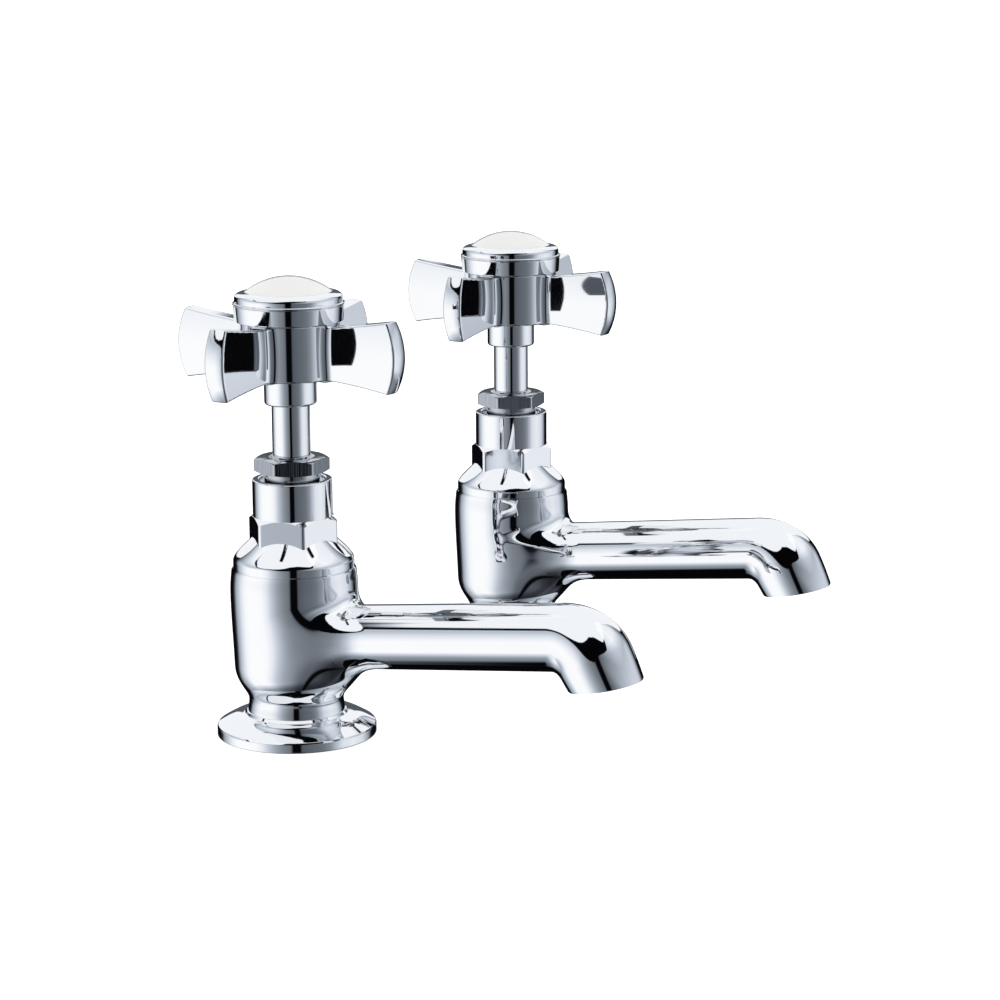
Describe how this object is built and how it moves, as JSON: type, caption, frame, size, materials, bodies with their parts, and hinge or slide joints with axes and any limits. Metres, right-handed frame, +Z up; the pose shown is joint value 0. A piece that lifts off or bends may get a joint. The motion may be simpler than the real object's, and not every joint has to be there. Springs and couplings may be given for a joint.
{
  "type": "pair of pillar taps",
  "caption": "Pair of chrome pillar taps with cross handles, long swan spouts, round deck flanges and porcelain indices.",
  "frame": {"origin": "midway between the two tap axes, in the plane of the deck that the flanges rest on", "axes": "+Z up along the tap axes, +X from the hot tap to the cold tap, -Y the way that the spouts point"},
  "size_m": [0.2166, 0.1625, 0.1943],
  "materials": {
    "chrome_plate": "polished chromium plate on brass",
    "satin_chrome": "turned and plated, fine lines",
    "brass": "machined brass",
    "steel": "machined stainless steel",
    "black_rubber": "moulded rubber",
    "graphite_packing": "pressed graphite packing",
    "red_fibre": "vulcanised fibre",
    "white_nylon": "moulded nylon",
    "white_porcelain": "glazed porcelain"
  },
  "bodies": {
    "root": {"hot_body": "chrome_plate", "hot_base_flange": "chrome_plate", "hot_base_seal": "black_rubber", "hot_deck_washer": "white_nylon", "hot_backnut": "brass", "hot_bonnet": "chrome_plate", "hot_bonnet_washer": "red_fibre", "hot_gland_packing": "graphite_packing", "hot_gland_ring": "brass", "hot_gland_nut": "satin_chrome", "cold_body": "chrome_plate", "cold_base_flange": "chrome_plate", "cold_base_seal": "black_rubber", "cold_deck_washer": "white_nylon", "cold_backnut": "brass", "cold_bonnet": "chrome_plate", "cold_bonnet_washer": "red_fibre", "cold_gland_packing": "graphite_packing", "cold_gland_ring": "brass", "cold_gland_nut": "satin_chrome"},
    "hot_jumper_set": {"hot_jumper": "brass", "hot_valve_washer": "black_rubber", "hot_jumper_nut": "brass"},
    "hot_handle_set": {"hot_spindle": "chrome_plate", "hot_cross_handle": "chrome_plate", "hot_handle_screw": "steel", "hot_cap": "chrome_plate", "hot_cap_o_ring": "black_rubber", "hot_index": "white_porcelain"},
    "cold_jumper_set": {"cold_jumper": "brass", "cold_valve_washer": "black_rubber", "cold_jumper_nut": "brass"},
    "cold_handle_set": {"cold_spindle": "chrome_plate", "cold_cross_handle": "chrome_plate", "cold_handle_screw": "steel", "cold_cap": "chrome_plate", "cold_cap_o_ring": "black_rubber", "cold_index": "white_porcelain"}
  },
  "joints": [
    {"name": "hot_lift", "type": "slide", "parent": "root", "child": "hot_jumper_set", "axis": [0, 0, 1], "range_m": [0, 0.0063]},
    {"name": "hot_turn", "type": "hinge", "parent": "hot_jumper_set", "child": "hot_handle_set", "pos_m": [-0.068, 0, 0.12], "axis": [0, 0, 1], "range_deg": [0, 945]},
    {"name": "cold_lift", "type": "slide", "parent": "root", "child": "cold_jumper_set", "axis": [0, 0, 1], "range_m": [0, 0.0063]},
    {"name": "cold_turn", "type": "hinge", "parent": "cold_jumper_set", "child": "cold_handle_set", "pos_m": [0.068, 0, 0.12], "axis": [0, 0, 1], "range_deg": [0, 945]}
  ],
  "couplings": [
    {"joint": "hot_lift", "follows": "hot_turn", "m_per_rad": 0.00038197},
    {"joint": "cold_lift", "follows": "cold_turn", "m_per_rad": 0.00038197}
  ]
}
